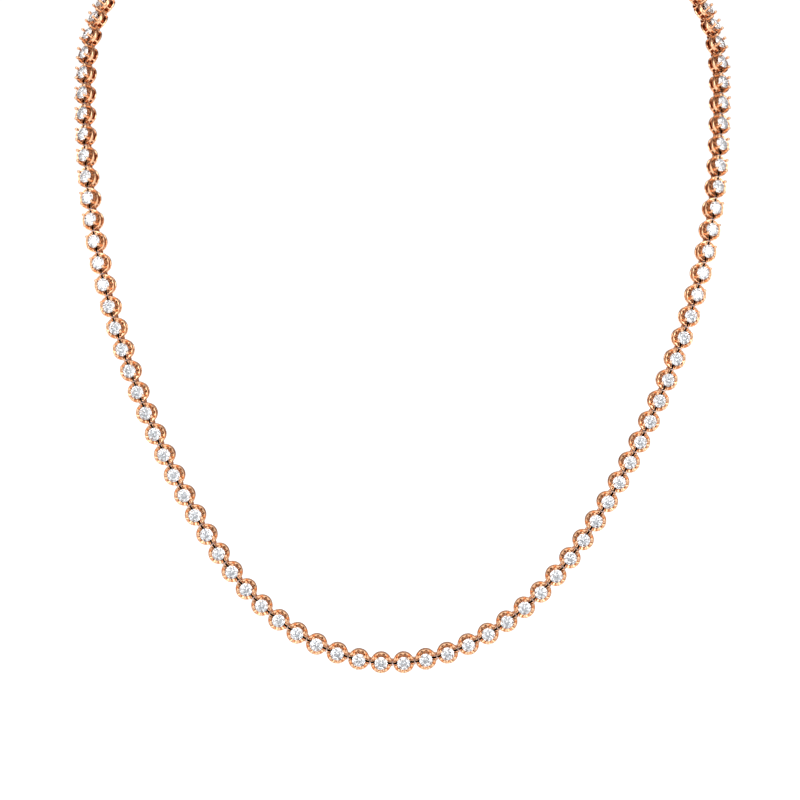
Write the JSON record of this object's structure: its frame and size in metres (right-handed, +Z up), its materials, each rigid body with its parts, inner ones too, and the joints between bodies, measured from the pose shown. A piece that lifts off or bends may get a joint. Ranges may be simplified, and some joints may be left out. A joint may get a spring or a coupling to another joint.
{
  "type": "riviere necklace",
  "caption": "Riviere necklace in its worn shape: round illusion settings with brilliant-cut stones, hinged in a closed loop with a plain clasp at the nape.",
  "frame": {"origin": "the middle of the clasp at the nape, at the level of the hinge line", "axes": "+Z up as worn, the front of the loop faces -Y, +X to the right as seen from the front"},
  "size_m": [0.1155, 0.0987, 0.1232],
  "materials": {
    "gold": "polished rose gold",
    "stone": "clear, faceted",
    "clasp": "polished rose gold"
  },
  "bodies": {
    "root": {"settings_left": "gold", "settings_right": "gold", "stones_left": "stone", "stones_right": "stone", "clasp": "clasp"}
  },
  "joints": []
}
